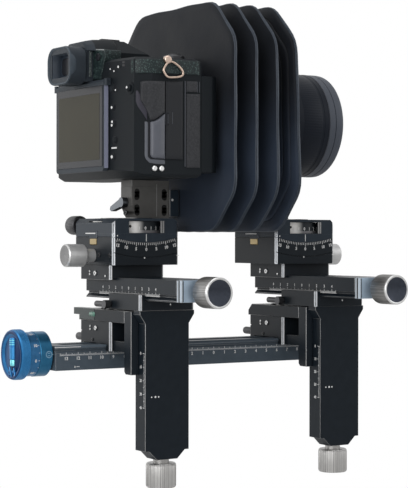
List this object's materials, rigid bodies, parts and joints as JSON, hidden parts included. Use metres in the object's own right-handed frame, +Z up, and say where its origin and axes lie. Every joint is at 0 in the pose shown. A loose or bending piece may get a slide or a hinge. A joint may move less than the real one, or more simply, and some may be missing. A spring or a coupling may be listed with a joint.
{
  "type": "view camera adapter",
  "caption": "Monorail view camera adapter: two standards with lift, shift, tilt and swing movements, joined by pleated bellows between a camera body and a lens.",
  "frame": {"origin": "centre of the tripod socket's mouth, in the underside of the rail at its middle", "axes": "+Y along the rail and the lens axis, towards the subject; +Z up; +X to the viewer's right, the side that the lift columns stand on"},
  "size_m": [0.2258, 0.3082, 0.3644],
  "materials": {
    "black_anodised": "satin black anodised, with bright machined edges",
    "silver_anodised": "satin, fine turned grain",
    "blue_anodised": "satin blue anodised",
    "dark_blue_anodised": "satin dark blue anodised",
    "steel": "turned steel",
    "black_steel": "blackened",
    "brass": "machined brass",
    "level_green": "clear green acrylic",
    "bellows_cloth": "matt pleated cloth",
    "camera_black": "moulded black with leather grain",
    "screen_gloss": "dark glossy display",
    "lens_black": "satin black",
    "lens_coated": "coated, polished"
  },
  "bodies": {
    "rail": {"rail_beam": "black_anodised", "focus_collar": "blue_anodised"},
    "focus_drive": {"focus_dial": "dark_blue_anodised", "focus_screw": "steel", "focus_knob": "blue_anodised"},
    "crank": {"focus_crank": "blue_anodised"},
    "rear_focus_carriage": {"rear_carriage": "black_anodised", "rear_arm": "black_anodised", "rear_lift_guide": "black_anodised", "spirit_level": "level_green"},
    "rear_lock": {"rear_carriage_lock": "black_steel"},
    "rear_lift_column": {"rear_column": "black_anodised", "rear_column_head": "black_anodised"},
    "rear_lift_drive": {"rear_lift_screw": "steel", "rear_lift_knob": "silver_anodised"},
    "rear_lever": {"rear_head_lever": "black_steel"},
    "rear_shift_frame": {"rear_shift_bar": "black_anodised", "rear_shift_end_plate": "black_anodised", "rear_shift_block": "black_anodised", "rear_tilt_base": "black_anodised"},
    "rear_shift_drive": {"rear_shift_screw": "steel", "rear_shift_knob": "silver_anodised"},
    "rear_tilt_stage": {"rear_tilt_rocker": "black_anodised", "rear_tilt_rack": "brass", "rear_swing_housing": "black_anodised"},
    "rear_tilt_drive": {"rear_tilt_knob": "silver_anodised"},
    "rear_swing_stage": {"rear_turntable": "black_anodised", "camera_riser": "black_anodised", "camera_plate": "silver_anodised", "camera_body": "camera_black", "bellows": "bellows_cloth"},
    "rear_swing_drive": {"rear_swing_knob": "black_steel"},
    "front_focus_carriage": {"front_carriage": "black_anodised", "front_arm": "black_anodised", "front_lift_guide": "black_anodised"},
    "front_lock": {"front_carriage_lock": "black_steel"},
    "front_lift_column": {"front_column": "black_anodised", "front_column_head": "black_anodised"},
    "front_lift_drive": {"front_lift_screw": "steel", "front_lift_knob": "silver_anodised"},
    "front_lever": {"front_head_lever": "black_steel"},
    "front_shift_frame": {"front_shift_bar": "black_anodised", "front_shift_end_plate": "black_anodised", "front_shift_block": "black_anodised", "front_tilt_base": "black_anodised"},
    "front_shift_drive": {"front_shift_screw": "steel", "front_shift_knob": "silver_anodised"},
    "front_tilt_stage": {"front_tilt_rocker": "black_anodised", "front_tilt_rack": "brass", "front_swing_housing": "black_anodised"},
    "front_tilt_drive": {"front_tilt_knob": "silver_anodised"},
    "front_swing_stage": {"front_turntable": "black_anodised", "lens_board": "black_anodised", "lens_bracket": "black_anodised", "lens_barrel": "lens_black", "lens_glass": "lens_coated"},
    "front_swing_drive": {"front_swing_knob": "black_steel"},
    "clamp_handle": {"clamp_lever": "black_steel"},
    "jaw": {"clamp_jaw": "black_anodised"},
    "display": {"camera_screen": "screen_gloss"}
  },
  "joints": [
    {"name": "rear_focus_slide", "type": "slide", "parent": "rail", "child": "rear_focus_carriage", "axis": [0, 1, 0], "range_m": [-0.04, 0.014], "deforming": ["bellows"]},
    {"name": "rear_carriage_lock_turn", "type": "hinge", "parent": "rear_focus_carriage", "child": "rear_lock", "pos_m": [0, -0.0897, 0.0217], "axis": [1, 0, 0], "range_deg": [-90, 90]},
    {"name": "rear_lift_slide", "type": "slide", "parent": "rear_focus_carriage", "child": "rear_lift_column", "axis": [0, 0, 1], "range_m": [0, 0.04], "deforming": ["bellows"]},
    {"name": "rear_lift_screw_turn", "type": "hinge", "parent": "rear_lift_column", "child": "rear_lift_drive", "pos_m": [0.06, -0.074, -0.06], "axis": [0, 0, 1], "range_deg": [-10, 3610]},
    {"name": "rear_head_lever_turn", "type": "hinge", "parent": "rear_lift_column", "child": "rear_lever", "pos_m": [0.0248, -0.0988, 0.0491], "axis": [0, 1, 0], "range_deg": [-45, 45]},
    {"name": "rear_shift_slide", "type": "slide", "parent": "rear_lift_column", "child": "rear_shift_frame", "axis": [1, 0, 0], "range_m": [-0.04, 0.04], "deforming": ["bellows"]},
    {"name": "rear_shift_screw_turn", "type": "hinge", "parent": "rear_shift_frame", "child": "rear_shift_drive", "pos_m": [0.112, -0.074, 0.0603], "axis": [1, 0, 0], "range_deg": [-3610, 3610]},
    {"name": "rear_tilt", "type": "hinge", "parent": "rear_shift_frame", "child": "rear_tilt_stage", "pos_m": [0, -0.07, 0.1915], "axis": [1, 0, 0], "range_deg": [-15, 15], "deforming": ["bellows"]},
    {"name": "rear_tilt_worm_turn", "type": "hinge", "parent": "rear_shift_frame", "child": "rear_tilt_drive", "pos_m": [0, -0.07, 0.0855], "axis": [0, 1, 0], "range_deg": [-3010, 3010]},
    {"name": "rear_swing", "type": "hinge", "parent": "rear_tilt_stage", "child": "rear_swing_stage", "pos_m": [0, -0.07, 0.11], "axis": [0, 0, 1], "range_deg": [-15, 15], "deforming": ["bellows"]},
    {"name": "rear_swing_worm_turn", "type": "hinge", "parent": "rear_tilt_stage", "child": "rear_swing_drive", "pos_m": [-0.03, -0.0923, 0.1087], "axis": [1, 0, 0], "range_deg": [-910, 910]},
    {"name": "front_focus_slide", "type": "slide", "parent": "rail", "child": "front_focus_carriage", "axis": [0, 1, 0], "range_m": [-0.014, 0.032], "deforming": ["bellows"]},
    {"name": "front_carriage_lock_turn", "type": "hinge", "parent": "front_focus_carriage", "child": "front_lock", "pos_m": [0, 0.068, 0.0217], "axis": [1, 0, 0], "range_deg": [-90, 90]},
    {"name": "front_lift_slide", "type": "slide", "parent": "front_focus_carriage", "child": "front_lift_column", "axis": [0, 0, 1], "range_m": [0, 0.04], "deforming": ["bellows"]},
    {"name": "front_lift_screw_turn", "type": "hinge", "parent": "front_lift_column", "child": "front_lift_drive", "pos_m": [0.06, 0.0837, -0.06], "axis": [0, 0, 1], "range_deg": [-10, 3610]},
    {"name": "front_head_lever_turn", "type": "hinge", "parent": "front_lift_column", "child": "front_lever", "pos_m": [0.0248, 0.0589, 0.0491], "axis": [0, 1, 0], "range_deg": [-45, 45]},
    {"name": "front_shift_slide", "type": "slide", "parent": "front_lift_column", "child": "front_shift_frame", "axis": [1, 0, 0], "range_m": [-0.04, 0.04], "deforming": ["bellows"]},
    {"name": "front_shift_screw_turn", "type": "hinge", "parent": "front_shift_frame", "child": "front_shift_drive", "pos_m": [0.112, 0.0837, 0.0603], "axis": [1, 0, 0], "range_deg": [-3610, 3610]},
    {"name": "front_tilt", "type": "hinge", "parent": "front_shift_frame", "child": "front_tilt_stage", "pos_m": [0, 0.0777, 0.1915], "axis": [1, 0, 0], "range_deg": [-15, 15], "deforming": ["bellows"]},
    {"name": "front_tilt_worm_turn", "type": "hinge", "parent": "front_shift_frame", "child": "front_tilt_drive", "pos_m": [0, 0.0777, 0.0855], "axis": [0, 1, 0], "range_deg": [-3010, 3010]},
    {"name": "front_swing", "type": "hinge", "parent": "front_tilt_stage", "child": "front_swing_stage", "pos_m": [0, 0.0777, 0.11], "axis": [0, 0, 1], "range_deg": [-15, 15], "deforming": ["bellows"]},
    {"name": "front_swing_worm_turn", "type": "hinge", "parent": "front_tilt_stage", "child": "front_swing_drive", "pos_m": [-0.03, 0.1, 0.1087], "axis": [1, 0, 0], "range_deg": [-910, 910]},
    {"name": "focus_screw_turn", "type": "hinge", "parent": "rail", "child": "focus_drive", "pos_m": [0, -0.15, 0.012], "axis": [0, 1, 0], "range_deg": [-3610, 1270]},
    {"name": "focus_crank_fold", "type": "hinge", "parent": "focus_drive", "child": "crank", "pos_m": [0, -0.1652, -0.0012], "axis": [1, 0, 0], "range_deg": [0, 90]},
    {"name": "clamp_lever_turn", "type": "hinge", "parent": "rear_swing_stage", "child": "clamp_handle", "pos_m": [0, -0.074, 0.12645], "axis": [0, 1, 0], "range_deg": [-10, 60]},
    {"name": "clamp_jaw_slide", "type": "slide", "parent": "rear_swing_stage", "child": "jaw", "axis": [0, 1, 0], "range_m": [-0.0001, 0.0004]},
    {"name": "screen_tilt", "type": "hinge", "parent": "rear_swing_stage", "child": "display", "pos_m": [0.0016, -0.10975, 0.21435], "axis": [-1, 0, 0], "range_deg": [0, 60]}
  ],
  "couplings": [
    {"joint": "rear_lift_screw_turn", "follows": "rear_lift_slide", "rad_per_m": 1570.8},
    {"joint": "rear_shift_screw_turn", "follows": "rear_shift_slide", "rad_per_m": 1570.8},
    {"joint": "rear_tilt_worm_turn", "follows": "rear_tilt", "ratio": 200},
    {"joint": "rear_swing_worm_turn", "follows": "rear_swing", "ratio": 60},
    {"joint": "front_lift_screw_turn", "follows": "front_lift_slide", "rad_per_m": 1570.8},
    {"joint": "front_shift_screw_turn", "follows": "front_shift_slide", "rad_per_m": 1570.8},
    {"joint": "front_tilt_worm_turn", "follows": "front_tilt", "ratio": 200},
    {"joint": "front_swing_worm_turn", "follows": "front_swing", "ratio": 60},
    {"joint": "focus_screw_turn", "follows": "rear_focus_slide", "rad_per_m": 1570.8},
    {"joint": "clamp_jaw_slide", "follows": "clamp_lever_turn", "m_per_rad": 0.0003}
  ]
}
